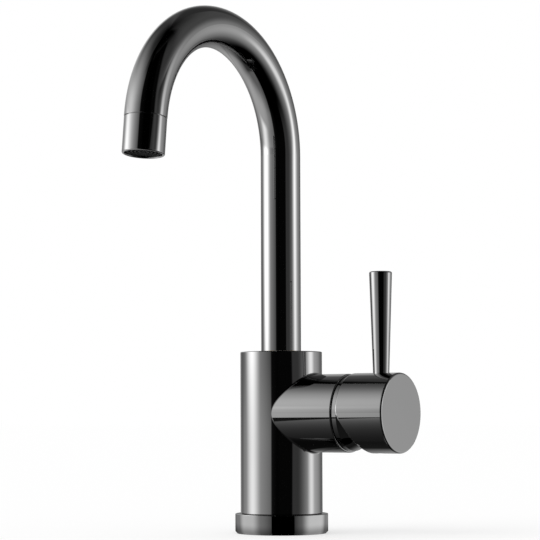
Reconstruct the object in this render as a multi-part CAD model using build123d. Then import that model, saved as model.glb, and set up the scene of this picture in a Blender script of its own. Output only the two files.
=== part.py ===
from build123d import *
import os
from math import asin, cos, degrees, radians, sin, sqrt, tan

# A deck-mounted single-lever basin mixer: an upright round body on a flange, a side arm that holds
# the mixing cartridge, a round handle hub with an upright lever, and a tall bent spout that swivels.
# Millimetres. The origin is the centre of the flange's foot, +Z is up, the spout points along -Y
# and the arm along +X.

# Body and flange
body_diameter = 45.0
body_top_above_arm = 33.9
body_edge_bevel = 0.5
body_top_round = 0.5
body_seam_bevel = 0.4
body_underside_height = 0.8
spigot_step = 2.0
flange_overhang = 3.0
flange_height = 10.8
flange_foot_bevel = 1.2
flange_top_round = 0.4
flange_bore_clearance = 0.1
gasket_inset = 1.0
gasket_width = 1.8
gasket_thickness = 2.0

# Water inlets and stud, cut up from the underside
inlet_thread_radius = 4.46
inlet_thread_length = 12.0
inlet_passage_radius = 4.0
inlet_x = 2.0
inlet_y = 9.5
stud_thread_radius = 3.4
stud_thread_length = 12.0

# Side arm and the cavity for the cartridge
arm_height = 65.5
arm_face_round = 0.6
arm_body_round = 1.0
arm_wall = 2.25
cartridge_seat_wall = 3.0
cartridge_diameter = 34.8
cartridge_length = 24.0
cartridge_clearance = 0.15
nut_shoulder = 1.6
nut_recess = 7.6

# Cartridge: base, ports and discs
base_thickness = 5.0
locating_pin_radius = 1.5
locating_pin_length = 2.5
locating_pin_spread = 13.5
inlet_port_radius = 2.6
inlet_port_y = 5.2
inlet_port_rise = 4.8
outlet_port_radius = 3.2
outlet_port_drop = 7.0
seal_section_radius = 0.7
seal_port_margin = 0.35
fixed_disc_radius = 13.0
fixed_disc_thickness = 3.5
fixed_disc_recess = 1.5
moving_disc_radius = 10.5
moving_disc_thickness = 3.2
mixing_pocket_radius = 5.2
mixing_pocket_drop = 4.0
mixing_pocket_depth = 1.6
disc_face_clearance = 0.02

# Cartridge: carrier, rotor, stem and housing
housing_wall = 1.9
housing_front_wall = 2.0
housing_nose_radius = 13.8
housing_nose_length = 6.0
carrier_rim = 1.3
carrier_rim_lift = 1.0
carrier_flange_thickness = 2.3
carrier_guide_width = 19.8
guide_clearance = 0.2
guide_rib_thickness = 2.0
guide_rib_length = 14.0
rotor_plate_thickness = 2.9
rotor_neck_radius = 11.42
running_clearance = 0.08
rotor_ring_section_radius = 0.65
rotor_ring_from_nose = 1.3
pivot_depth_in_arm = 5.6
stem_pin_radius = 1.5
stem_pin_inset = 0.92
stem_ball_radius = 2.45
stem_ball_arm = 8.0
stem_ball_clearance = 0.15
stem_neck_radius = 1.8
stem_width = 7.9
stem_inner_reach = 3.5
stem_reach_past_lever = 4.25
lever_tilt_limit = 25.0

# Retaining nut and the dome that covers it
nut_bore_clearance = 0.2
nut_thread_length = 6.5
nut_nose_reach = 3.3
dome_wall = 2.0
dome_wall_over_nut = 1.53
dome_hole_radius = 15.2
dome_band_gap = 0.1
dome_band_bevel = 0.3

# Handle hub and lever
hub_diameter = 43.0
hub_length = 28.6
hub_arm_gap = 2.8
hub_face_round = 1.0
hub_rear_round = 0.9
hub_wall = 1.65
hub_mouth_wall = 1.0
hub_mouth_length = 3.0
hub_dome_clearance = 0.25
hub_boss_radius = 7.0
hub_boss_recess = 4.6
hub_cut_angle = 28.0
hub_cut_round = 6.0
lever_place_on_hub = 16.35
lever_length = 54.2
lever_base_radius = 4.36
lever_top_radius = 6.16
lever_top_round = 0.9
lever_seat_depth = 1.2
lever_thread_radius = 3.0
lever_thread_length = 9.0
lever_thread_wall = 0.75
grub_screw_radius = 2.5
handle_grub_length = 12.0
hex_socket_width = 2.5
hex_socket_depth = 2.5

# Spout
spout_tube_diameter = 22.0
spout_tube_wall = 1.5
spout_riser_length = 107.97
spout_arch_radius = 62.1
spout_arch_span = 173.9
spout_turn_limit = 60.0
spout_end_round = 0.25
tail_radius = 9.85
tail_bore_radius = 6.5
tail_end_clearance = 0.6
tail_spigot_length = 12.0
socket_clearance = 0.15
socket_depth = 21.4
outlet_passage_radius = 4.0
outlet_passage_x = -5.0
slide_ring_thickness = 1.0
slide_ring_height = 4.0
slide_ring_lip = 0.4
slide_ring_lip_step = 0.25
lower_slide_ring_height = 2.0
lower_slide_ring_from_bottom = 1.0
o_ring_section_radius = 0.9
first_o_ring_from_bottom = 4.4
o_ring_pitch = 3.0
stop_screw_depth = 7.9
stop_dog_radius = 1.4
stop_slot_depth = 1.75
stop_screw_recess = 0.4

# Outlet: collar and the aerator inside it
collar_step = 0.1
collar_length = 18.6
collar_joint_gap = 0.4
collar_joint_depth = 0.5
collar_rim_round = 0.6
collar_joint_round = 0.15
collar_wall = 1.3
collar_ledge_width = 1.4
collar_ledge_thickness = 1.0
nipple_inset = 1.7
nipple_length = 4.0
nipple_wall = 1.6
insert_depth_in_tube = 3.0
insert_tube_clearance = 0.15
aerator_clearance = 0.1
aerator_recess = 1.1
aerator_wall = 0.95
washer_thickness = 1.4
washer_width = 2.5
regulator_thickness = 2.0
regulator_post_radius = 2.2
aerator_web_thickness = 1.2
aerator_web_width = 3.55
screen_thickness = 0.4
screen_distance = 1.6
grid_thickness = 1.0
grid_ring_width = 0.95
grid_ring_count = 4
grid_spoke_width = 0.8

# Fits shared by several pieces
push_fit_clearance = 0.02
thread_clearance = 0.05

# Worked out from the dimensions above: body, flange and spout
body_radius = body_diameter / 2
body_top_height = arm_height + body_top_above_arm
spigot_radius = body_radius - spigot_step
flange_radius = body_radius + flange_overhang
flange_bore_radius = spigot_radius + flange_bore_clearance
socket_radius = tail_radius + socket_clearance
socket_floor_height = body_top_height - socket_depth
tail_bottom_height = socket_floor_height + tail_end_clearance
first_o_ring_height = tail_bottom_height + first_o_ring_from_bottom
o_ring_heights = (first_o_ring_height, first_o_ring_height + o_ring_pitch)
stop_screw_height = body_top_height - stop_screw_depth
tube_radius = spout_tube_diameter / 2
tube_bore_radius = tube_radius - spout_tube_wall
spout_foot_height = body_top_height + slide_ring_lip + running_clearance
spout_straight_top_height = spout_foot_height + spout_riser_length
collar_radius = tube_radius - collar_step
collar_bore_radius = collar_radius - collar_wall
nipple_radius = collar_radius - nipple_inset
nipple_bore_radius = nipple_radius - nipple_wall

# Worked out: the arm and the cartridge in it, from the spout's socket outwards
cartridge_radius = cartridge_diameter / 2
nut_thread_radius = cartridge_radius + nut_shoulder
arm_radius = nut_thread_radius + arm_wall
cartridge_seat_x = socket_radius + cartridge_seat_wall
nut_inner_x = cartridge_seat_x + cartridge_length
arm_face_x = nut_inner_x + nut_recess
pivot_x = arm_face_x - pivot_depth_in_arm
base_top_x = cartridge_seat_x + base_thickness
fixed_disc_x = base_top_x - fixed_disc_recess
sliding_face_x = fixed_disc_x + fixed_disc_thickness
moving_disc_x = sliding_face_x + disc_face_clearance
moving_disc_back_x = moving_disc_x + moving_disc_thickness
stem_ball_x = pivot_x - stem_ball_arm
housing_shoulder_x = nut_inner_x
housing_front_x = housing_shoulder_x - housing_front_wall
housing_nose_x = housing_shoulder_x + housing_nose_length
rotor_plate_x = housing_front_x - running_clearance - rotor_plate_thickness
carrier_flange_x = moving_disc_back_x + carrier_flange_thickness
carrier_top_x = rotor_plate_x - guide_clearance
nut_bore_radius = housing_nose_radius + nut_bore_clearance
nut_nose_end_x = arm_face_x + nut_nose_reach
stem_pin_length = 2 * (rotor_neck_radius - stem_pin_inset)

# Worked out: the handle, and the dome that fills the hub's open end at every tilt
hub_radius = hub_diameter / 2
hub_inner_x = arm_face_x + hub_arm_gap
hub_outer_x = hub_inner_x + hub_length
lever_x = hub_inner_x + lever_place_on_hub
stem_outer_x = lever_x + stem_reach_past_lever
hub_boss_start_x = hub_inner_x + hub_boss_recess
hub_cavity_end_x = lever_x - lever_thread_radius - lever_thread_wall
hub_cavity_radius = hub_radius - hub_wall
hub_mouth_radius = hub_radius - hub_mouth_wall
dome_band_radius = hub_mouth_radius - hub_dome_clearance
dome_radius = sqrt(dome_band_radius**2 + (hub_inner_x - pivot_x) ** 2)
nut_nose_radius = sqrt(dome_radius**2 - (nut_nose_end_x - pivot_x) ** 2) - dome_wall_over_nut
dome_band_x = arm_face_x + dome_band_gap
grub_tip_drop = stem_width / 2 + push_fit_clearance

# Cartridge pieces are drawn standing on Z and laid into the arm: drawn X is Y, drawn Y is up
# from the arm's axis, and drawn Z is X.
ARM = Plane(origin=(0, 0, arm_height), x_dir=(0, 1, 0), z_dir=(1, 0, 0)).location

# A solid aligned like this stands on its place.
STANDING = (Align.CENTER, Align.CENTER, Align.MIN)

# The outlet's own frame: its Z runs out of the end of the spout's arch.
arch_end = radians(spout_arch_span)
OUTLET = Plane(
    origin=(
        0,
        spout_arch_radius * (cos(arch_end) - 1),
        spout_straight_top_height + spout_arch_radius * sin(arch_end),
    ),
    x_dir=(1, 0, 0),
    z_dir=(0, -sin(arch_end), cos(arch_end)),
).location


def turned(*outline):
    """A turned solid about Z from the (radius, height) corners of half its section."""
    corners = [(radius, 0, height) for radius, height in outline]
    return revolve(make_face(Polyline(*corners, close=True)), Axis.Z)


def rounded_end(solid, radius, end=-1):
    """Rounds the edges at the last end along Z, or at the first one when end is 0."""
    circles = solid.edges().filter_by(GeomType.CIRCLE)
    return fillet(circles.group_by(Axis.Z)[end], radius)


def rod(radius, bottom, top):
    return Pos(0, 0, bottom) * Cylinder(radius, top - bottom, align=STANDING)


def ring(inner, outer, bottom, top):
    return turned((inner, bottom), (outer, bottom), (outer, top), (inner, top))


def hex_socket(width, bottom, top):
    hexagon = RegularPolygon(width / 2, 6, major_radius=False)
    return extrude(Pos(0, 0, bottom) * hexagon, top - bottom)


def port_places():
    """Places of the two inlet ports and the outlet port on the seat, each with its radius."""
    return (
        (inlet_port_y, inlet_port_rise, inlet_port_radius),
        (-inlet_port_y, inlet_port_rise, inlet_port_radius),
        (0, -outlet_port_drop, outlet_port_radius),
    )


def base_flange():
    solid = turned(
        (flange_bore_radius, 0),
        (flange_radius - flange_foot_bevel, 0),
        (flange_radius, flange_foot_bevel),
        (flange_radius, flange_height),
        (flange_bore_radius, flange_height),
    )
    return rounded_end(solid, flange_top_round) - base_gasket()


def base_gasket():
    inner = flange_bore_radius + gasket_inset
    return ring(inner, inner + gasket_width, 0, gasket_thickness)


def body_shell():
    shell = turned(
        (0, body_underside_height),
        (spigot_radius - body_edge_bevel, body_underside_height),
        (spigot_radius, body_underside_height + body_edge_bevel),
        (spigot_radius, flange_height),
        (body_radius - body_seam_bevel, flange_height),
        (body_radius, flange_height + body_seam_bevel),
        (body_radius, body_top_height),
        (0, body_top_height),
    )
    arm = rounded_end(rod(arm_radius, 0, arm_face_x), arm_face_round)
    solid = rounded_end(shell, body_top_round) + ARM * arm
    return fillet(solid.edges().filter_by(GeomType.BSPLINE), arm_body_round)


def cartridge_cavity():
    bore = cartridge_radius + cartridge_clearance
    cavity = turned(
        (0, cartridge_seat_x),
        (bore, cartridge_seat_x),
        (bore, nut_inner_x),
        (nut_thread_radius, nut_inner_x),
        (nut_thread_radius, arm_face_x),
        (0, arm_face_x),
    )
    hole_radius = locating_pin_radius + cartridge_clearance
    hole_floor = cartridge_seat_x - locating_pin_length - cartridge_clearance
    for side in (1, -1):
        cavity += Pos(side * locating_pin_spread, 0, 0) * rod(hole_radius, hole_floor, cartridge_seat_x)
    return ARM * cavity


def water_passages():
    """Inlets up to the seat, and the outlet from the seat up to the spout's socket."""
    port_height = arm_height + inlet_port_rise
    passages = rod(stud_thread_radius, 0, body_underside_height + stud_thread_length)
    for side in (1, -1):
        thread_top = body_underside_height + inlet_thread_length
        riser = rod(inlet_thread_radius, 0, thread_top)
        riser += rod(inlet_passage_radius, thread_top, port_height + inlet_port_radius)
        passages += Pos(inlet_x, side * inlet_y, 0) * riser
        crossing = rod(inlet_port_radius, 0, cartridge_seat_x)
        passages += ARM * Pos(side * inlet_port_y, inlet_port_rise, 0) * crossing
    outlet_height = arm_height - outlet_port_drop
    outlet_crossing = rod(outlet_port_radius, outlet_passage_x, cartridge_seat_x)
    passages += ARM * Pos(0, -outlet_port_drop, 0) * outlet_crossing
    outlet_riser = rod(outlet_passage_radius, outlet_height - outlet_port_radius, socket_floor_height)
    return passages + Pos(outlet_passage_x, 0, 0) * outlet_riser


def spout_socket():
    return turned(
        (0, socket_floor_height),
        (socket_radius, socket_floor_height),
        (socket_radius, body_top_height - slide_ring_height),
        (socket_radius + slide_ring_thickness, body_top_height - slide_ring_height),
        (socket_radius + slide_ring_thickness, body_top_height),
        (0, body_top_height),
    )


def at_stop_screw(solid):
    """Lays a solid drawn along Z along the stop screw's axis, out of the rear of the body."""
    return Pos(0, 0, stop_screw_height) * Rot(-90, 0, 0) * solid


def mixer_body():
    solid = body_shell()
    solid -= cartridge_cavity()
    solid -= water_passages()
    solid -= spout_socket()
    return solid - at_stop_screw(rod(grub_screw_radius, tail_radius - stop_slot_depth, body_radius + 1))


def spout_stop_screw():
    head = sqrt(body_radius**2 - grub_screw_radius**2) - stop_screw_recess
    tip = tail_radius - stop_slot_depth + running_clearance
    shoulder = socket_radius + stop_screw_recess
    screw = rod(grub_screw_radius - push_fit_clearance, shoulder, head)
    screw += rod(stop_dog_radius, tip, shoulder)
    return at_stop_screw(screw - hex_socket(hex_socket_width, head - hex_socket_depth, head))


def spout_slide_ring_upper():
    inner = tail_radius + thread_clearance
    outer = socket_radius + slide_ring_thickness - push_fit_clearance
    lip_radius = socket_radius + slide_ring_thickness - slide_ring_lip_step
    return turned(
        (inner, body_top_height - slide_ring_height),
        (outer, body_top_height - slide_ring_height),
        (outer, body_top_height),
        (lip_radius, body_top_height),
        (lip_radius, body_top_height + slide_ring_lip),
        (inner, body_top_height + slide_ring_lip),
    )


def lower_ring_section(outer):
    """The lower bearing ring's place on the tail, out to the given radius."""
    bottom = tail_bottom_height + lower_slide_ring_from_bottom
    inner = socket_radius - slide_ring_thickness
    return ring(inner, outer, bottom, bottom + lower_slide_ring_height)


def spout_slide_ring_lower():
    return lower_ring_section(socket_radius - thread_clearance)


def o_ring_centre_radius():
    return socket_radius - thread_clearance - o_ring_section_radius


def spout_o_rings():
    seal = Torus(o_ring_centre_radius(), o_ring_section_radius)
    return Compound(children=[Pos(0, 0, height) * seal for height in o_ring_heights])


def spout_tail():
    solid = turned(
        (tail_bore_radius, tail_bottom_height),
        (tail_radius, tail_bottom_height),
        (tail_radius, spout_foot_height),
        (tube_bore_radius - push_fit_clearance, spout_foot_height),
        (tube_bore_radius - push_fit_clearance, spout_foot_height + tail_spigot_length),
        (tail_bore_radius, spout_foot_height + tail_spigot_length),
    )
    solid -= lower_ring_section(socket_radius)
    groove_floor = o_ring_centre_radius() - o_ring_section_radius
    half_width = o_ring_section_radius + running_clearance
    for height in o_ring_heights:
        solid -= ring(groove_floor, socket_radius, height - half_width, height + half_width)
    return solid - stop_slot()


def stop_slot():
    """The groove that the stop screw's tip runs in, as long as the spout's turn."""
    floor = tail_radius - stop_slot_depth
    half_angle = spout_turn_limit + degrees(asin((stop_dog_radius + running_clearance) / floor))
    half_width = stop_dog_radius + running_clearance
    low = stop_screw_height - half_width
    high = stop_screw_height + half_width
    corners = ((floor, 0, low), (socket_radius, 0, low), (socket_radius, 0, high), (floor, 0, high))
    section = make_face(Polyline(*corners, close=True))
    return Rot(0, 0, 90 - half_angle) * revolve(section, Axis.Z, revolution_arc=2 * half_angle)


def spout_tube():
    section = Circle(tube_radius) - Circle(tube_bore_radius)
    riser = extrude(Pos(0, 0, spout_foot_height) * section, spout_straight_top_height - spout_foot_height)
    arch_axis = Axis((0, -spout_arch_radius, spout_straight_top_height), (1, 0, 0))
    arch = revolve(Pos(0, 0, spout_straight_top_height) * section, arch_axis, revolution_arc=spout_arch_span)
    end_face = arch.faces().filter_by(GeomType.PLANE).sort_by(Axis.Y)[0]
    return riser + fillet(end_face.outer_wire().edges(), spout_end_round)


def spout_outlet_insert():
    in_tube = tube_bore_radius - insert_tube_clearance
    at_joint = collar_radius - collar_joint_depth
    solid = turned(
        (nipple_bore_radius, -insert_depth_in_tube),
        (in_tube, -insert_depth_in_tube),
        (in_tube, 0),
        (at_joint, 0),
        (at_joint, collar_joint_gap),
        (nipple_radius, collar_joint_gap),
        (nipple_radius, collar_joint_gap + nipple_length),
        (nipple_bore_radius, collar_joint_gap + nipple_length),
    )
    return OUTLET * solid


def ledge_end():
    """Where the collar's inner ledge ends and the aerator's chamber starts."""
    return collar_joint_gap + nipple_length + thread_clearance + collar_ledge_thickness


def aerator_housing():
    ledge_start = ledge_end() - collar_ledge_thickness
    end = collar_joint_gap + collar_length
    outer = rounded_end(rod(collar_radius, collar_joint_gap, end), collar_joint_round, end=0)
    outer = rounded_end(outer - rod(collar_bore_radius, ledge_end(), end), collar_rim_round)
    outer -= rod(nipple_radius + thread_clearance, collar_joint_gap, ledge_start)
    return OUTLET * (outer - rod(collar_bore_radius - collar_ledge_width, ledge_start, ledge_end()))


def aerator_washer():
    outer = collar_bore_radius - aerator_clearance
    return OUTLET * ring(outer - washer_width, outer, ledge_end(), ledge_end() + washer_thickness)


def aerator_start():
    return ledge_end() + washer_thickness


def aerator_end():
    return collar_joint_gap + collar_length - aerator_recess


def aerator_inner_radius():
    return collar_bore_radius - aerator_clearance - aerator_wall


def aerator_body():
    outer = aerator_inner_radius() + aerator_wall
    solid = ring(aerator_inner_radius(), outer, aerator_start(), aerator_end())
    web_start = aerator_start() + regulator_thickness
    web_hole = aerator_inner_radius() - aerator_web_width
    web_outer = aerator_inner_radius() + aerator_wall / 2
    web = ring(web_hole, web_outer, web_start, web_start + aerator_web_thickness)
    return OUTLET * (solid + web)


def flow_regulator():
    """A ring round a post, joined by a thin floor: the ring narrows as the pressure rises."""
    bottom = aerator_start()
    outer = aerator_inner_radius() - aerator_clearance
    cup = rod(outer, bottom, bottom + regulator_thickness)
    channel_width = (outer - regulator_post_radius) / 3
    channel_outer = regulator_post_radius + channel_width
    channel_floor = bottom + regulator_thickness / 2
    return OUTLET * (cup - ring(regulator_post_radius, channel_outer, bottom, channel_floor))


def aerator_screen():
    start = aerator_start() + regulator_thickness + aerator_web_thickness
    support = ring(
        aerator_inner_radius() - aerator_wall,
        aerator_inner_radius() - push_fit_clearance,
        start,
        start + screen_distance,
    )
    mesh_start = start + screen_distance
    mesh = rod(aerator_inner_radius() - push_fit_clearance, mesh_start, mesh_start + screen_thickness)
    return OUTLET * (support + mesh)


def aerator_grid():
    """Rings on crossed spokes, the face of the outlet."""
    outer = aerator_inner_radius() - push_fit_clearance
    end = aerator_end()
    pitch = outer / (grid_ring_count + 0.5)
    rings = rod(pitch / 2 - grid_ring_width / 4, end - grid_thickness, end)
    for count in range(grid_ring_count):
        ring_outer = outer - count * pitch
        rings += ring(ring_outer - grid_ring_width, ring_outer, end - grid_thickness, end)
    spoke_place = Pos(0, 0, end - 1.5 * grid_thickness)
    for turn in (0, 60, 120):
        spoke = Box(2 * outer - grid_ring_width, grid_spoke_width, grid_thickness)
        rings += spoke_place * Rot(0, 0, turn) * spoke
    return OUTLET * rings


def cartridge_base():
    solid = rod(cartridge_radius, cartridge_seat_x, base_top_x)
    solid -= rod(fixed_disc_radius + cartridge_clearance, fixed_disc_x, base_top_x)
    for across, up, radius in port_places():
        place = Pos(across, up, 0)
        solid -= place * rod(radius, cartridge_seat_x, base_top_x)
        solid -= place * seal_groove(radius)
    for side in (1, -1):
        pin = rod(locating_pin_radius, cartridge_seat_x - locating_pin_length, cartridge_seat_x)
        solid += Pos(side * locating_pin_spread, 0, 0) * pin
    return ARM * solid


def seal_centre_radius(port_radius):
    return port_radius + seal_port_margin + seal_section_radius


def seal_groove(port_radius):
    centre = seal_centre_radius(port_radius)
    half_width = seal_section_radius + push_fit_clearance
    depth = 2 * seal_section_radius + push_fit_clearance
    return ring(centre - half_width, centre + half_width, cartridge_seat_x, cartridge_seat_x + depth)


def cartridge_port_seals():
    seals = []
    for across, up, radius in port_places():
        seal = Torus(seal_centre_radius(radius), seal_section_radius)
        seals.append(ARM * Pos(across, up, cartridge_seat_x + seal_section_radius) * seal)
    return Compound(children=seals)


def fixed_disc():
    solid = rod(fixed_disc_radius, fixed_disc_x, sliding_face_x)
    for across, up, radius in port_places():
        solid -= Pos(across, up, 0) * rod(radius, fixed_disc_x, sliding_face_x)
    return ARM * solid


def moving_disc():
    """Its blind pocket joins the inlets to the outlet once the disc has slid up."""
    solid = rod(moving_disc_radius, moving_disc_x, moving_disc_back_x)
    pocket = rod(mixing_pocket_radius, moving_disc_x, moving_disc_x + mixing_pocket_depth)
    return ARM * (solid - Pos(0, -mixing_pocket_drop, 0) * pocket)


def disc_carrier():
    outer = moving_disc_radius + carrier_rim
    solid = rod(outer, sliding_face_x + carrier_rim_lift, carrier_flange_x)
    solid -= rod(moving_disc_radius + push_fit_clearance, sliding_face_x, moving_disc_back_x)
    guide_height = carrier_top_x - carrier_flange_x
    guide = Box(carrier_guide_width, 2 * outer, guide_height, align=STANDING)
    guide = Pos(0, 0, carrier_flange_x) * guide
    solid += guide & rod(outer, carrier_flange_x, carrier_top_x)
    pocket_radius = stem_ball_radius + stem_ball_clearance
    return ARM * (solid - rod(pocket_radius, stem_ball_x - pocket_radius, carrier_top_x))


def housing_bore_radius():
    return cartridge_radius - housing_wall


def neck_bore_radius():
    return rotor_neck_radius + running_clearance


def cartridge_housing():
    return ARM * turned(
        (housing_bore_radius(), base_top_x),
        (cartridge_radius, base_top_x),
        (cartridge_radius, housing_shoulder_x),
        (housing_nose_radius, housing_shoulder_x),
        (housing_nose_radius, housing_nose_x),
        (neck_bore_radius(), housing_nose_x),
        (neck_bore_radius(), housing_front_x),
        (housing_bore_radius(), housing_front_x),
    )


def rotor_ring_x():
    return housing_nose_x - rotor_ring_from_nose


def rotor_slot():
    """The slot that the stem tilts in, just long enough for the tilt limit."""
    tilt = radians(lever_tilt_limit)
    half_stem = stem_width / 2 / cos(tilt)
    low = (housing_nose_x - pivot_x) * tan(tilt) + half_stem
    corner = stem_inner_reach * sin(tilt) + stem_width / 2 * cos(tilt)
    neck = (pivot_x - rotor_plate_x) * tan(tilt) + stem_neck_radius / cos(tilt)
    ball = stem_ball_arm * sin(tilt) + stem_ball_radius
    bottom = -low - guide_clearance
    top = max(corner, neck, ball) + guide_clearance
    width = stem_width + guide_clearance
    length = housing_nose_x - rotor_plate_x
    slot = Box(width, top - bottom, length, align=(Align.CENTER, Align.MIN, Align.MIN))
    return Pos(0, bottom, rotor_plate_x) * slot


def rotor():
    plate_end = rotor_plate_x + rotor_plate_thickness
    plate_radius = housing_bore_radius() - guide_clearance
    solid = rod(plate_radius, rotor_plate_x, plate_end)
    solid += rod(rotor_neck_radius, plate_end, housing_nose_x)
    rib_start = carrier_flange_x + guide_clearance
    for side in (1, -1):
        across = carrier_guide_width / 2 + guide_clearance + guide_rib_thickness / 2
        rib = Box(guide_rib_thickness, guide_rib_length, rotor_plate_x - rib_start, align=STANDING)
        solid += Pos(side * across, 0, rib_start) * rib & rod(plate_radius, rib_start, rotor_plate_x)
    solid -= rotor_slot()
    groove_floor = rotor_neck_radius - 2 * rotor_ring_section_radius
    half_width = rotor_ring_section_radius + push_fit_clearance
    ring_x = rotor_ring_x()
    solid -= ring(groove_floor, rotor_neck_radius + 1, ring_x - half_width, ring_x + half_width)
    pin_hole = rod(stem_pin_radius + push_fit_clearance, -stem_pin_length / 2, stem_pin_length / 2)
    return ARM * (solid - across_pivot(pin_hole))


def across_pivot(solid):
    """Lays a solid drawn along Z along the stem's hinge, which runs across the arm."""
    return Pos(0, 0, pivot_x) * Rot(0, 90, 0) * solid


def rotor_o_ring():
    centre = rotor_neck_radius - rotor_ring_section_radius + push_fit_clearance
    return ARM * Pos(0, 0, rotor_ring_x()) * Torus(centre, rotor_ring_section_radius)


def stem_pin():
    length = stem_pin_length - 2 * push_fit_clearance
    return ARM * across_pivot(rod(stem_pin_radius, -length / 2, length / 2))


def stem():
    """Square bar with a ball on its inner end, hinged in the rotor near that end."""
    inner_x = pivot_x - stem_inner_reach
    bar = Box(stem_width, stem_width, stem_outer_x - inner_x, align=STANDING)
    solid = Pos(0, 0, inner_x) * bar
    solid += rod(stem_neck_radius, stem_ball_x, inner_x)
    solid += Pos(0, 0, stem_ball_x) * Sphere(stem_ball_radius)
    hole = rod(stem_pin_radius + thread_clearance, -stem_width, stem_width)
    return ARM * (solid - across_pivot(hole))


def retaining_nut():
    thread_end = nut_inner_x + nut_thread_length
    return ARM * turned(
        (nut_bore_radius, nut_inner_x),
        (nut_thread_radius - thread_clearance, nut_inner_x),
        (nut_thread_radius - thread_clearance, thread_end),
        (nut_nose_radius, thread_end),
        (nut_nose_radius, nut_nose_end_x),
        (nut_bore_radius, nut_nose_end_x),
    )


def bonnet_cover():
    """A dome round the stem's hinge, so that the hub keeps the same gap to it at every tilt."""
    front = rod(dome_radius, dome_band_x, pivot_x + dome_radius)
    solid = Pos(0, 0, pivot_x) * Sphere(dome_radius) & rod(dome_radius, hub_inner_x, pivot_x + dome_radius)
    solid += turned(
        (0, dome_band_x),
        (dome_band_radius - dome_band_bevel, dome_band_x),
        (dome_band_radius, dome_band_x + dome_band_bevel),
        (dome_band_radius, hub_inner_x),
        (0, hub_inner_x),
    )
    solid -= Pos(0, 0, pivot_x) * Sphere(dome_radius - dome_wall) & front
    solid -= rod(nut_nose_radius + thread_clearance, dome_band_x, nut_nose_end_x + thread_clearance)
    return ARM * (solid - rod(dome_hole_radius, dome_band_x, pivot_x + dome_radius))


def hub_underside_cut():
    """What is cut off the hub's inner side below the axis, so that it can tilt past the arm."""
    reach = 2 * hub_radius
    outside = hub_inner_x - hub_radius
    cut_end = (hub_inner_x + reach * tan(radians(hub_cut_angle)), -reach)
    edge = FilletPolyline((hub_inner_x, reach), (hub_inner_x, 0), cut_end, radius=hub_cut_round)
    rest = Polyline(cut_end, (outside, -reach), (outside, reach), (hub_inner_x, reach))
    wedge = extrude(Plane.XZ * make_face(edge + rest), hub_radius + 1, both=True)
    return Pos(0, 0, arm_height) * wedge


def hub_outside():
    """The hub's outer form, rounded where its side meets the face, the rear and the cut."""
    solid = ARM * rounded_end(rod(hub_radius, hub_inner_x, hub_outer_x), hub_face_round)
    solid -= hub_underside_cut()
    side = solid.faces().filter_by(GeomType.CYLINDER).sort_by(SortBy.AREA)[-1]
    face_edge_and_seam = 2
    return fillet(side.edges().sort_by(Axis.X)[:-face_edge_and_seam], hub_rear_round)


def hub_cavity():
    """Thinner walled at its mouth, where the dome stands in it."""
    return turned(
        (0, hub_inner_x),
        (hub_mouth_radius, hub_inner_x),
        (hub_cavity_radius, hub_inner_x + hub_mouth_length),
        (hub_cavity_radius, hub_cavity_end_x),
        (0, hub_cavity_end_x),
    )


def handle_hub():
    boss = rod(hub_boss_radius, hub_boss_start_x, hub_cavity_end_x)
    socket_width = stem_width + 2 * thread_clearance
    socket_length = stem_outer_x + guide_clearance - hub_boss_start_x
    socket = Box(socket_width, socket_width, socket_length, align=STANDING)
    solid = hub_outside() - ARM * hub_cavity()
    solid += ARM * boss - hub_underside_cut()
    solid -= ARM * Pos(0, 0, hub_boss_start_x) * socket
    return solid - at_lever(lever_hole()) - at_lever(rod(grub_screw_radius, -hub_radius - 1, 0))


def at_lever(solid):
    """Places a solid drawn with Z = 0 on the arm's axis at the lever."""
    return Pos(lever_x, 0, arm_height) * solid


def lever_seat():
    return hub_radius - lever_seat_depth


def lever_hole():
    thread_floor = lever_seat() - lever_thread_length - guide_clearance
    hole = rod(lever_thread_radius, thread_floor, lever_seat())
    return hole + rod(lever_base_radius + thread_clearance, lever_seat(), hub_radius + 1)


def lever_pin():
    top = hub_radius + lever_length
    thread_end = lever_seat() - lever_thread_length
    solid = turned(
        (0, lever_seat()),
        (lever_base_radius, lever_seat()),
        (lever_base_radius, hub_radius),
        (lever_top_radius, top),
        (0, top),
    )
    solid = rounded_end(solid, lever_top_round)
    return at_lever(solid + rod(lever_thread_radius - thread_clearance, thread_end, lever_seat()))


def handle_grub_screw():
    bottom = -grub_tip_drop - handle_grub_length
    screw = rod(grub_screw_radius - push_fit_clearance, bottom, -grub_tip_drop)
    return at_lever(screw - hex_socket(hex_socket_width, bottom, bottom + hex_socket_depth))


PIECES = (
    base_flange,
    base_gasket,
    mixer_body,
    spout_stop_screw,
    spout_slide_ring_upper,
    spout_slide_ring_lower,
    spout_o_rings,
    spout_tail,
    spout_tube,
    spout_outlet_insert,
    aerator_housing,
    aerator_washer,
    aerator_body,
    flow_regulator,
    aerator_screen,
    aerator_grid,
    cartridge_base,
    cartridge_port_seals,
    cartridge_housing,
    fixed_disc,
    moving_disc,
    disc_carrier,
    rotor,
    rotor_o_ring,
    stem,
    stem_pin,
    retaining_nut,
    bonnet_cover,
    handle_hub,
    lever_pin,
    handle_grub_screw,
)

os.makedirs("parts", exist_ok=True)
for piece in PIECES:
    export_step(piece(), f"parts/{piece.__name__}.step")
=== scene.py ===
from math import cos, radians, sin

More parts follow.
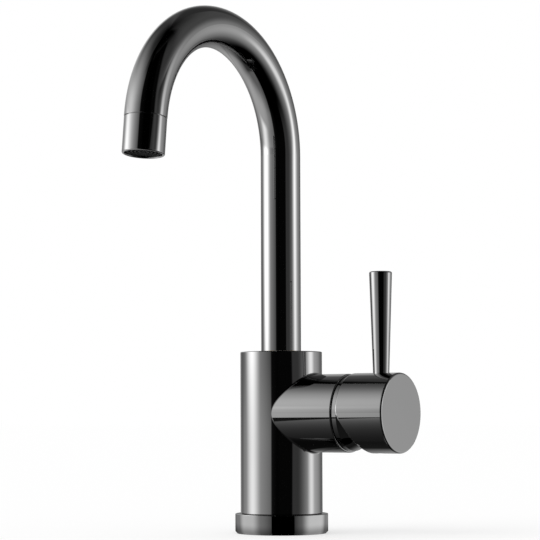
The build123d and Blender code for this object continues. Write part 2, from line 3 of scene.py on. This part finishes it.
import bmesh
import bpy
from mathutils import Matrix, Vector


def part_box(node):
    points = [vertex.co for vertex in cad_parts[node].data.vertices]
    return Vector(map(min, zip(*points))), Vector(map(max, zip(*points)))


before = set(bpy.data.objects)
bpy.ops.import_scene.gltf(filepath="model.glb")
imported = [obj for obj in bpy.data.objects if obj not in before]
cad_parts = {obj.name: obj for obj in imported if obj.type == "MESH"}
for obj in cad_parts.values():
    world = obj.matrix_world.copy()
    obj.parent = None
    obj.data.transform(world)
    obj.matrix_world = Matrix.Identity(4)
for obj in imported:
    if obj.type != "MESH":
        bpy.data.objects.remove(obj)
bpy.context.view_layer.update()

FOOT_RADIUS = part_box("base_flange")[1][0]
WHITE = (1, 1, 1, 1)
BLACK = (0, 0, 0, 1)


# Node helpers

def add(tree, kind, inputs=None, **settings):
    """A node with its settings, and with its inputs given as values or as the outputs that feed them."""
    node = tree.nodes.new(kind)
    for name, value in settings.items():
        setattr(node, name, value)
    for name, value in (inputs or {}).items():
        if isinstance(value, bpy.types.NodeSocket):
            tree.links.new(value, node.inputs[name])
        else:
            node.inputs[name].default_value = value
    return node


def calculate(tree, operation, *values, **settings):
    """A sum, a division or another calculation with one or two values."""
    return add(tree, "ShaderNodeMath", dict(enumerate(values)), operation=operation, **settings).outputs[0]


def product(tree, *values):
    """Several values multiplied, which for masks keeps only what lies in all of them."""
    result = values[0]
    for value in values[1:]:
        result = calculate(tree, "MULTIPLY", result, value)
    return result


def between(tree, value, start, end, low=0, high=1):
    """A value taken smoothly from one range to another, and held at its ends."""
    inputs = {"Value": value, "From Min": start, "From Max": end, "To Min": low, "To Max": high}
    return add(tree, "ShaderNodeMapRange", inputs, interpolation_type="SMOOTHSTEP").outputs["Result"]


def axis_parts(tree, vector):
    """The three coordinates of a vector, by the names of their axes."""
    return add(tree, "ShaderNodeSeparateXYZ", {0: vector}).outputs


def noise(tree, vector, scale, detail):
    """Soft noise in three dimensions."""
    inputs = {"Vector": vector, "Scale": scale, "Detail": detail}
    return add(tree, "ShaderNodeTexNoise", inputs).outputs["Fac"]


def bumped(tree, height, distance, strength):
    """A normal that follows a height, in metres at full strength."""
    inputs = {"Height": height, "Distance": distance, "Strength": strength}
    return add(tree, "ShaderNodeBump", inputs).outputs["Normal"]


def blend_colours(tree, share, first, second):
    """The first colour where the share is 0, and the second where it is 1."""
    return add(tree, "ShaderNodeMix", {0: share, 6: first, 7: second}, data_type="RGBA").outputs[2]


def blend_shaders(tree, share, first, second):
    """The first shader where the share is 0, and the second where it is 1."""
    return add(tree, "ShaderNodeMixShader", {0: share, 1: first, 2: second}).outputs[0]


def glow(tree, strength):
    """White light that a surface gives off by itself."""
    return add(tree, "ShaderNodeEmission", {"Color": WHITE, "Strength": strength}).outputs[0]


def place_group(tree, group, inputs, label=""):
    """The outputs of a node group, placed with its own values."""
    return add(tree, "ShaderNodeGroup", inputs, node_tree=group, label=label).outputs


def new_group(name, inputs, outputs):
    """An empty node group with its named inputs and outputs."""
    tree = bpy.data.node_groups.new(name, "ShaderNodeTree")
    for label, kind, value in inputs:
        socket = tree.interface.new_socket(label, in_out="INPUT", socket_type="NodeSocket" + kind)
        if value is not None:
            socket.default_value = value
    for label, kind in outputs:
        tree.interface.new_socket(label, in_out="OUTPUT", socket_type="NodeSocket" + kind)
    return tree, tree.nodes.new("NodeGroupInput").outputs, tree.nodes.new("NodeGroupOutput").inputs


# Effects that several finishes use

def polish_ripple_group():
    """The faint waviness and wipe haze that hand polishing leaves on a mirror finish."""
    tree, given, result = new_group(
        "polish ripple",
        [("Position", "Vector", None), ("Ripple Size", "Float", .01), ("Ripple Depth", "Float", .1),
         ("Clear", "Float", .03), ("Hazy", "Float", .06)],
        [("Roughness", "Float"), ("Normal", "Vector")])
    ripples_per_metre = calculate(tree, "DIVIDE", 1, given["Ripple Size"])
    wave = noise(tree, given["Position"], ripples_per_metre, detail=1)
    wipes_per_metre = (60, 60, 22)
    wiped = add(tree, "ShaderNodeVectorMath", {0: given["Position"], 1: wipes_per_metre},
                operation="MULTIPLY")
    haze = noise(tree, wiped.outputs[0], scale=1, detail=4)
    smear = between(tree, haze, start=.42, end=.72)
    tree.links.new(between(tree, smear, 0, 1, given["Clear"], given["Hazy"]), result["Roughness"])
    tree.links.new(bumped(tree, wave, distance=.00001, strength=given["Ripple Depth"]), result["Normal"])
    return tree


def turned_marks_group():
    """Fine tool rings that a lathe leaves, spaced along the axis that it turned about."""
    tree, given, result = new_group(
        "turned marks",
        [("Along", "Float", 0), ("Pitch", "Float", .0002), ("Depth", "Float", .3), ("Smooth", "Float", .2),
         ("Rough", "Float", .35)],
        [("Roughness", "Float"), ("Normal", "Vector"), ("Groove", "Float")])
    turns = calculate(tree, "DIVIDE", given["Along"], given["Pitch"])
    wobbles_per_turn = .37
    along_wobble = product(tree, turns, wobbles_per_turn)
    wobble = add(tree, "ShaderNodeTexNoise", {"W": along_wobble, "Scale": 1, "Detail": 3},
                 noise_dimensions="1D").outputs["Fac"]
    half_turn = .5
    groove = calculate(tree, "PINGPONG", calculate(tree, "ADD", turns, wobble), half_turn)
    mark = product(tree, groove, 1 / half_turn, wobble)
    tree.links.new(between(tree, wobble, 0, 1, given["Smooth"], given["Rough"]), result["Roughness"])
    tree.links.new(bumped(tree, mark, distance=.00003, strength=given["Depth"]), result["Normal"])
    tree.links.new(mark, result["Groove"])
    return tree


def moulded_grain_group():
    """The fine skin of a moulded part, with a slight cloudiness in its colour."""
    tree, given, result = new_group(
        "moulded grain",
        [("Position", "Vector", None), ("Grain Size", "Float", .0004), ("Depth", "Float", .2),
         ("Light Colour", "Color", (.5, .5, .5, 1)), ("Dark Colour", "Color", (.4, .4, .4, 1)),
         ("Smooth", "Float", .4), ("Rough", "Float", .55)],
        [("Color", "Color"), ("Roughness", "Float"), ("Normal", "Vector")])
    grains_per_metre = calculate(tree, "DIVIDE", 1, given["Grain Size"])
    grain = noise(tree, given["Position"], grains_per_metre, detail=2)
    cloud = noise(tree, given["Position"], scale=240, detail=3)
    tree.links.new(blend_colours(tree, cloud, given["Dark Colour"], given["Light Colour"]), result["Color"])
    tree.links.new(between(tree, grain, 0, 1, given["Smooth"], given["Rough"]), result["Roughness"])
    tree.links.new(bumped(tree, grain, distance=.00004, strength=given["Depth"]), result["Normal"])
    return tree


POLISH_RIPPLE = polish_ripple_group()
TURNED_MARKS = turned_marks_group()
MOULDED_GRAIN = moulded_grain_group()


# Finishes

def new_finish(name, colour, metallic, roughness):
    """A material with its shader, and the position that its patterns follow."""
    material = bpy.data.materials.new(name)
    material.use_nodes = True
    tree = material.node_tree
    shader = tree.nodes["Principled BSDF"]
    shader.inputs["Base Color"].default_value = colour + (1,)
    shader.inputs["Metallic"].default_value = metallic
    shader.inputs["Roughness"].default_value = roughness
    position = add(tree, "ShaderNodeTexCoord").outputs["Object"]
    return material, tree, shader, position


def black_chrome():
    """Mirror polished black chrome: a neutral grey mirror with a faint ripple and wipe haze."""
    material, tree, shader, position = new_finish("black chrome", (.33, .33, .33), metallic=1, roughness=.03)
    polish = place_group(tree, POLISH_RIPPLE, {"Position": position, "Ripple Size": .006, "Ripple Depth": .05,
                                               "Clear": .015, "Hazy": .03})
    tone = noise(tree, position, scale=30, detail=2)
    colour = blend_colours(tree, tone, (.32, .32, .32, 1), (.34, .34, .34, 1))
    tree.links.new(colour, shader.inputs["Base Color"])
    tree.links.new(polish["Roughness"], shader.inputs["Roughness"])
    tree.links.new(polish["Normal"], shader.inputs["Normal"])
    return material


def turned_metal(name, colour, painted_groove_shade, axis, pitch, smooth, rough):
    """Metal as it leaves the lathe, with tool rings about its axis, and its colour painted darker in the
    groove bottoms, a painted shade.
    """
    material, tree, shader, position = new_finish(name, colour, metallic=1, roughness=rough)
    marks = place_group(tree, TURNED_MARKS, {"Along": axis_parts(tree, position)[axis], "Pitch": pitch,
                                             "Smooth": smooth, "Rough": rough})
    # Painted shade: the colour darkens towards the groove bottoms.
    tone = blend_colours(tree, marks["Groove"], painted_groove_shade + (1,), colour + (1,))
    tree.links.new(tone, shader.inputs["Base Color"])
    tree.links.new(marks["Roughness"], shader.inputs["Roughness"])
    tree.links.new(marks["Normal"], shader.inputs["Normal"])
    return material


def moulded(name, light, dark, smooth, rough, grain, depth, shine=.5):
    """Moulded rubber, plastic or fired ceramic."""
    material, tree, shader, position = new_finish(name, light, metallic=0, roughness=rough)
    shader.inputs["Specular IOR Level"].default_value = shine
    skin = place_group(tree, MOULDED_GRAIN, {"Position": position, "Grain Size": grain, "Depth": depth,
                                             "Light Colour": light + (1,), "Dark Colour": dark + (1,),
                                             "Smooth": smooth, "Rough": rough})
    tree.links.new(skin["Color"], shader.inputs["Base Color"])
    tree.links.new(skin["Roughness"], shader.inputs["Roughness"])
    tree.links.new(skin["Normal"], shader.inputs["Normal"])
    return material


def woven_screen():
    """Fine woven steel wire in painted shade: the steel is darkened to a shaded copy of the turned steel, and
    the openings between the wires are painted near black for the shade inside the outlet.
    """
    # Both colours are painted shade: a shaded copy of steel, and near black between the wires.
    steel, painted_shade_between_wires = (.12, .12, .12), (.015, .015, .015)
    material, tree, shader, position = new_finish("woven outlet screen", steel, metallic=1, roughness=.5)
    wires = [add(tree, "ShaderNodeTexWave", {"Vector": position, "Scale": 500}, bands_direction=way)
             for way in ("X", "Y")]
    weave = calculate(tree, "MAXIMUM", *[wire.outputs["Fac"] for wire in wires])
    colour = blend_colours(tree, weave, painted_shade_between_wires + (1,), steel + (1,))
    tree.links.new(colour, shader.inputs["Base Color"])
    tree.links.new(bumped(tree, weave, distance=.00003, strength=.4), shader.inputs["Normal"])
    return material


FINISHES = {
    "black_chrome": black_chrome(),
    # The second colour of each turned metal is its painted shade in the groove bottoms.
    "brass": turned_metal(
        "turned brass", (.78, .57, .26), (.62, .43, .17), axis="Z", pitch=.00022, smooth=.16, rough=.32),
    "steel": turned_metal(
        "turned steel", (.62, .61, .59), (.48, .47, .46), axis="X", pitch=.00018, smooth=.18, rough=.32),
    "rubber": moulded(
        "black rubber", (.022, .022, .022), (.013, .013, .013), smooth=.5, rough=.68, grain=.0005, depth=.25),
    "slide_plastic": moulded(
        "white slide plastic", (.78, .77, .73), (.7, .69, .65), smooth=.32, rough=.46, grain=.0004,
        depth=.15),
    "dark_plastic": moulded(
        "dark outlet plastic", (.016, .016, .016), (.01, .01, .01), smooth=.5, rough=.62, grain=.0004,
        depth=.12, shine=.08),
    "cartridge_plastic": moulded(
        "pale cartridge plastic", (.66, .66, .63), (.56, .56, .53), smooth=.36, rough=.5, grain=.0004,
        depth=.15),
    "ceramic": moulded(
        "lapped ceramic", (.8, .79, .75), (.73, .72, .68), smooth=.14, rough=.24, grain=.0003, depth=.06),
}
WOVEN_SCREEN = woven_screen()


# The studio, in degrees: azimuths from the camera's side of the object towards the camera's right

CAMERA_AZIMUTH = 33.4935
PANEL_VALUES = ("Centre", "Half Width", "Side Fade", "Bottom", "Top", "End Fade", "Strength")
LIGHTS = {
    "left softbox": (-85, 0, 70, 20, 30, 40, 1),
    "left strip light": (-95, 0, 35, 5, 13, 6, 2.4),
    "foot of the left strip": (-90, 0, 31, -15, 0, 9, 1.5),
    "left fill": (-30, 10, 15, -35, 45, 10, .1),
    "left high bounce": (-130, 30, 50, 20, 20, 20, .65),
    "left low bounce": (-80, 45, 20, -90, -1, 3, .2),
    "left back fill": (-110, 55, 15, -90, 60, 30, .08),
    "right softbox": (101, 0, 57, -6, -6, 43, .85),
    "right strip light": (86, 0, 21, 11, 12, 14, 1.7),
    "foot of the right strip": (92, 0, 17, -6, 4, 13, 1.1),
    "right fill": (65, 70, 10, 0, 40, 35, .085),
    "right back fill": (140, 50, 20, 0, 65, 25, .06),
    "low back bounce": (-120, 34, 68, -35, -28, 37, .68),
}
FLAGS = {
    "front flag": (0, 27, 5, -90, 58, 6, .95),
    "upper front flag": (22, 24, 10, 15, 65, 1, .95),
    "flag beside the right softbox": (78, 4, 23, 12, 20, 5, .9),
}
BACKDROP_AZIMUTH = 176
BACKDROP_HEIGHT = 6
BACKDROP_EDGE = (28, 47)
BACKDROP_LIGHT = .11
BACKDROP_FRAME_INSIDE = (33, 39)
BACKDROP_FRAME_OUTSIDE = (40, 41)
BACKDROP_FRAME_SHADE = .22


def soft_panel_group():
    """One light or flag of the studio, placed by its azimuth and height in degrees, with soft edges."""
    tree, given, result = new_group(
        "soft panel",
        [("Azimuth", "Float", 0), ("Height", "Float", 0), ("Centre", "Float", 0), ("Half Width", "Float", 10),
         ("Side Fade", "Float", 5), ("Bottom", "Float", -10), ("Top", "Float", 10), ("End Fade", "Float", 5),
         ("Strength", "Float", 1)],
        [("Light", "Float")])
    half_turn = 180
    aside = calculate(tree, "SUBTRACT", given["Azimuth"], given["Centre"])
    aside = calculate(tree, "WRAP", aside, half_turn, -half_turn)
    side = calculate(tree, "ADD", given["Half Width"], given["Side Fade"])
    across = between(tree, calculate(tree, "ABSOLUTE", aside), given["Half Width"], side, 1, 0)
    foot = calculate(tree, "SUBTRACT", given["Bottom"], given["End Fade"])
    head = calculate(tree, "ADD", given["Top"], given["End Fade"])
    low = between(tree, given["Height"], foot, given["Bottom"])
    high = between(tree, given["Height"], given["Top"], head, 1, 0)
    tree.links.new(product(tree, across, low, high, given["Strength"]), result["Light"])
    return tree


SOFT_PANEL = soft_panel_group()


def studio_azimuth(tree, vector):
    """The studio's azimuth of a direction, or of a place on the deck, in degrees."""
    turned = add(tree, "ShaderNodeVectorRotate", {"Vector": vector, "Angle": -radians(CAMERA_AZIMUTH)},
                 rotation_type="Z_AXIS")
    parts = axis_parts(tree, turned.outputs[0])
    return calculate(tree, "DEGREES", calculate(tree, "ARCTAN2", parts["X"], product(tree, parts["Y"], -1)))


def all_panels(tree, azimuth, height, lights, flags):
    """The sum of the lights, darkened where a flag stands before them."""
    def panel(name, values):
        inputs = {"Azimuth": azimuth, "Height": height, **dict(zip(PANEL_VALUES, values))}
        return place_group(tree, SOFT_PANEL, inputs, label=name)["Light"]

    total = 0
    for name, values in lights.items():
        total = calculate(tree, "ADD", total, panel(name, values))
    for name, values in flags.items():
        open_share = calculate(tree, "SUBTRACT", 1, panel(name, values), use_clamp=True)
        total = product(tree, total, open_share)
    return total


def round_backdrop(tree, direction):
    """The pale round backdrop's light, and the share of all light that its darker frame lets through."""
    azimuth, height = radians(BACKDROP_AZIMUTH + CAMERA_AZIMUTH), radians(BACKDROP_HEIGHT)
    middle = (sin(azimuth) * cos(height), -cos(azimuth) * cos(height), sin(height))
    toward = add(tree, "ShaderNodeVectorMath", {0: direction, 1: middle}, operation="DOT_PRODUCT")
    aside = calculate(tree, "DEGREES", calculate(tree, "ARCCOSINE", toward.outputs["Value"]))
    pale = between(tree, aside, *BACKDROP_EDGE, BACKDROP_LIGHT, 0)
    inside = between(tree, aside, *BACKDROP_FRAME_INSIDE)
    outside = between(tree, aside, *BACKDROP_FRAME_OUTSIDE, 1, 0)
    shade = product(tree, inside, outside, BACKDROP_FRAME_SHADE)
    return pale, calculate(tree, "SUBTRACT", 1, shade)


def studio_lights(tree):
    """What polished metal mirrors: softboxes at both sides, black flags in front and a pale backdrop."""
    direction = add(tree, "ShaderNodeTexCoord").outputs["Generated"]
    upward = axis_parts(tree, direction)["Z"]
    height = calculate(tree, "DEGREES", calculate(tree, "ARCSINE", upward))
    panels = all_panels(tree, studio_azimuth(tree, direction), height, LIGHTS, FLAGS)
    pale, open_share = round_backdrop(tree, direction)
    return product(tree, calculate(tree, "ADD", panels, pale), open_share)


def studio_world():
    """A white background, plain soft light on everything, and the studio's lights for what is mirrored."""
    world = bpy.data.worlds.new("studio")
    bpy.context.scene.world = world
    world.use_nodes = True
    tree = world.node_tree
    tree.nodes.clear()

    def background(strength):
        return add(tree, "ShaderNodeBackground", {"Color": WHITE, "Strength": strength}).outputs[0]

    path = add(tree, "ShaderNodeLightPath").outputs
    white = background(strength=1)
    soft = background(strength=.8)
    mirrored = background(strength=studio_lights(tree))
    unseen = blend_shaders(tree, path["Is Glossy Ray"], soft, mirrored)
    through = calculate(tree, "MAXIMUM", path["Is Camera Ray"], path["Is Transmission Ray"])
    add(tree, "ShaderNodeOutputWorld", {"Surface": blend_shaders(tree, through, unseen, white)})


def new_object(name, data):
    """An object at the origin that holds a mesh, a lamp or the camera."""
    obj = bpy.data.objects.new(name, data)
    bpy.context.scene.collection.objects.link(obj)
    return obj


def flat_mesh(name, left, right, front, back):
    """A rectangle that lies flat on the deck's level."""
    mesh = bpy.data.meshes.new(name)
    shape = bmesh.new()
    bmesh.ops.create_grid(shape, x_segments=1, y_segments=1, size=.5)
    bmesh.ops.scale(shape, vec=(right - left, back - front, 1), verts=shape.verts)
    bmesh.ops.translate(shape, vec=((left + right) / 2, (front + back) / 2, 0), verts=shape.verts)
    shape.to_mesh(mesh)
    shape.free()
    return mesh


def stage_material(name):
    """A material without nodes yet, for what stands round the object."""
    material = bpy.data.materials.new(name)
    material.use_nodes = True
    material.node_tree.nodes.clear()
    return material, material.node_tree


def diffuse(tree, grey):
    """A matt grey surface."""
    return add(tree, "ShaderNodeBsdfDiffuse", {"Color": (grey, grey, grey, 1)}).outputs[0]


def floor():
    """A pale floor that the camera sees as white, with the object's soft shadow on it."""
    obj = new_object("floor", flat_mesh("floor", -9, 9, -9, 9))
    material, tree = stage_material("pale floor")
    shaded_share = .42
    seen = add(tree, "ShaderNodeAddShader", {0: diffuse(tree, shaded_share), 1: glow(tree, 1 - shaded_share)})
    to_camera = add(tree, "ShaderNodeLightPath").outputs["Is Camera Ray"]
    surface = blend_shaders(tree, to_camera, diffuse(tree, .9), seen.outputs[0])
    add(tree, "ShaderNodeOutputMaterial", {"Surface": surface})
    obj.data.materials.append(material)
    obj.visible_glossy = False


# The table that only the metal mirrors, painted with light and shade: a black sheet that paints shade into
# the low parts' reflections, a glowing deck and a glowing sheen round the foot. Sizes in metres from the
# foot's centre

TABLE_SIDES = (-.6, .7)
TABLE_ENDS = (-.9, .6)
SHEET_LEFT_EDGE = (-.099, -.087)
SHEET_REAR_EDGE = (.014, .024)
MATT_LEFT_EDGE = (.014, .026)
MATT_EDGE_SLANT = 1.147
BELOW_ARM = (.03, -.02, 0)
LOW_PARTS_HEIGHT = .11
# The deck's glow and its gain towards the right: painted light.
DECK_LIGHT = .9
DECK_GAIN_SIDES = (0, .05)
DECK_GAIN = (.5, 1.2)
GLANCE = .83
SHEEN_REACH = .228
SHEEN_GROWTH = (.45, 1.03)
SHEEN_GROWTH_WIDTH = .1
FOOT_SEAM = .002
# Glowing bands of the painted sheen round the foot, and the painted shade that darkens its front.
SHEET_LIGHTS = {
    "left glow": (-94, 14, 27, -90, 90, 1, .85),
    "left wide glow": (-97, 35, 60, -90, 90, 1, .45),
    "right glow": (96, 19, 28, -90, 90, 1, 1),
    "right wide glow": (109, 37, 56, -90, 90, 1, .45),
}
SHEET_FLAGS = {"front shade": (3, 28, 1, -90, 90, 1, 1)}


def ray_height(tree, facing, way):
    """How high above the deck a ray started, from its slope and its way along the deck."""
    steep = calculate(tree, "SUBTRACT", 1, facing)
    level = calculate(tree, "SQRT", calculate(tree, "SUBTRACT", 1, product(tree, steep, steep)))
    return calculate(tree, "DIVIDE", product(tree, way, steep), level)


def painted_sheet_and_deck_below_arm(tree, position, facing, clear):
    """The glossy black sheet before the foot and its dark matt strip on the left, painted shade in what the
    low parts mirror, and behind it a glowing deck, a painted lit deck whose light follows the ray's slope and
    grows towards the right.
    """
    parts = axis_parts(tree, position)
    # The black sheet glows faintly too: painted light.
    gloss_values = {"Base Color": BLACK, "Roughness": .03, "Emission Color": WHITE, "Emission Strength": .02}
    gloss = add(tree, "ShaderNodeBsdfPrincipled", gloss_values).outputs[0]
    slant = calculate(tree, "SUBTRACT", parts["X"], product(tree, parts["Y"], MATT_EDGE_SLANT))
    right_of_matt_edge = between(tree, slant, *MATT_LEFT_EDGE)
    right_of_sheet_edge = between(tree, parts["X"], *SHEET_LEFT_EDGE)
    left_of_sheet = blend_shaders(tree, right_of_matt_edge, clear, diffuse(tree, .03))
    painted_dark_sheet = blend_shaders(tree, right_of_sheet_edge, left_of_sheet, gloss)

    # Painted light: the deck glows by itself, brighter where rays meet it at a glance and towards the right.
    slope_light = between(tree, facing, start=.1, end=.9, low=.01, high=DECK_LIGHT)
    right_gain = between(tree, parts["X"], *DECK_GAIN_SIDES, *DECK_GAIN)
    painted_lit_deck = glow(tree, product(tree, slope_light, right_gain))
    before_rear_edge = between(tree, parts["Y"], SHEET_REAR_EDGE[1], SHEET_REAR_EDGE[0])
    return blend_shaders(tree, before_rear_edge, painted_lit_deck, painted_dark_sheet)


def painted_sheen_round_foot(tree, position, from_foot):
    """A painted sheen beside the foot: glowing bands that stand in for the side lights mirrored in a satin
    deck, turned to where the flange mirrors them.
    """
    twice = product(tree, from_foot, 2)
    spread = calculate(tree, "DIVIDE", twice, calculate(tree, "SUBTRACT", twice, FOOT_RADIUS))
    azimuth = product(tree, studio_azimuth(tree, position), spread)
    panels = all_panels(tree, azimuth, 0, SHEET_LIGHTS, SHEET_FLAGS)
    growth = between(tree, from_foot, FOOT_RADIUS, FOOT_RADIUS + SHEEN_GROWTH_WIDTH, *SHEEN_GROWTH)
    return glow(tree, product(tree, panels, growth))


def painted_reflection_table():
    """What the low parts of the metal mirror, painted with light and shade. Steep rays from the arm see the
    black sheet, a painted shade, and the glowing deck below it, a painted lit deck; rays at a glance near the
    foot see a painted sheen; and all others see the studio.
    """
    obj = new_object("painted reflection table", flat_mesh("painted reflection table", *TABLE_SIDES, *TABLE_ENDS))
    material, tree = stage_material("painted reflection table")
    position = add(tree, "ShaderNodeTexCoord").outputs["Object"]
    facing = add(tree, "ShaderNodeLayerWeight", {"Blend": .5}).outputs["Facing"]
    clear = add(tree, "ShaderNodeBsdfTransparent").outputs[0]

    # Only rays that start low see the black sheet and the glowing deck, which are painted shade and light in
    # what the low parts mirror.
    from_arm = add(tree, "ShaderNodeVectorMath", {0: position, 1: BELOW_ARM}, operation="DISTANCE")
    started_at = ray_height(tree, facing, from_arm.outputs["Value"])
    from_low_parts = calculate(tree, "LESS_THAN", started_at, LOW_PARTS_HEIGHT)
    painted_light_and_shade_below_arm = painted_sheet_and_deck_below_arm(tree, position, facing, clear)
    looking_down = blend_shaders(tree, from_low_parts, clear, painted_light_and_shade_below_arm)

    from_foot = add(tree, "ShaderNodeVectorMath", {0: position}, operation="LENGTH").outputs["Value"]
    near_foot = calculate(tree, "LESS_THAN", from_foot, SHEEN_REACH)
    painted_sheen_at_a_glance = blend_shaders(tree, near_foot, clear, painted_sheen_round_foot(tree, position, from_foot))

    beside_foot = calculate(tree, "LESS_THAN", from_foot, FOOT_RADIUS + FOOT_SEAM)
    glancing = calculate(tree, "MAXIMUM", calculate(tree, "GREATER_THAN", facing, GLANCE), beside_foot)
    surface = blend_shaders(tree, glancing, looking_down, painted_sheen_at_a_glance)
    add(tree, "ShaderNodeOutputMaterial", {"Surface": surface})
    obj.data.materials.append(material)
    obj.visible_camera = False
    obj.visible_diffuse = False
    obj.visible_shadow = False
    obj.visible_transmission = False


def soft_lamp():
    """A broad lamp from high on the left, for the object's soft shadow on the floor."""
    lamp = bpy.data.lights.new("soft lamp", "SUN")
    lamp.energy = .8
    lamp.angle = radians(40)
    obj = new_object("soft lamp", lamp)
    obj.rotation_euler = (radians(35), radians(-25), 0)
    obj.visible_glossy = False


def camera():
    """The photograph's viewpoint: low, from the front right, with a long lens."""
    data = bpy.data.cameras.new("camera")
    data.lens = 131.302
    data.sensor_width = 36
    data.shift_y = .05
    tilt, roll = 93.3957, .1854
    obj = new_object("camera", data)
    obj.location = (.594737, -.910122, .065302)
    obj.rotation_euler = (radians(tilt), radians(roll), radians(CAMERA_AZIMUTH))
    bpy.context.scene.camera = obj


def dress_nodes():
    """Each solid's slots get the finishes that they name, and the outlet's screen its weave."""
    for name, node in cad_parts.items():
        for slot in node.material_slots:
            slot.material = WOVEN_SCREEN if name == "aerator_screen" else FINISHES[slot.material.name]


camera()
studio_world()
soft_lamp()
floor()
painted_reflection_table()
dress_nodes()

bpy.context.scene.view_settings.view_transform = "Standard"
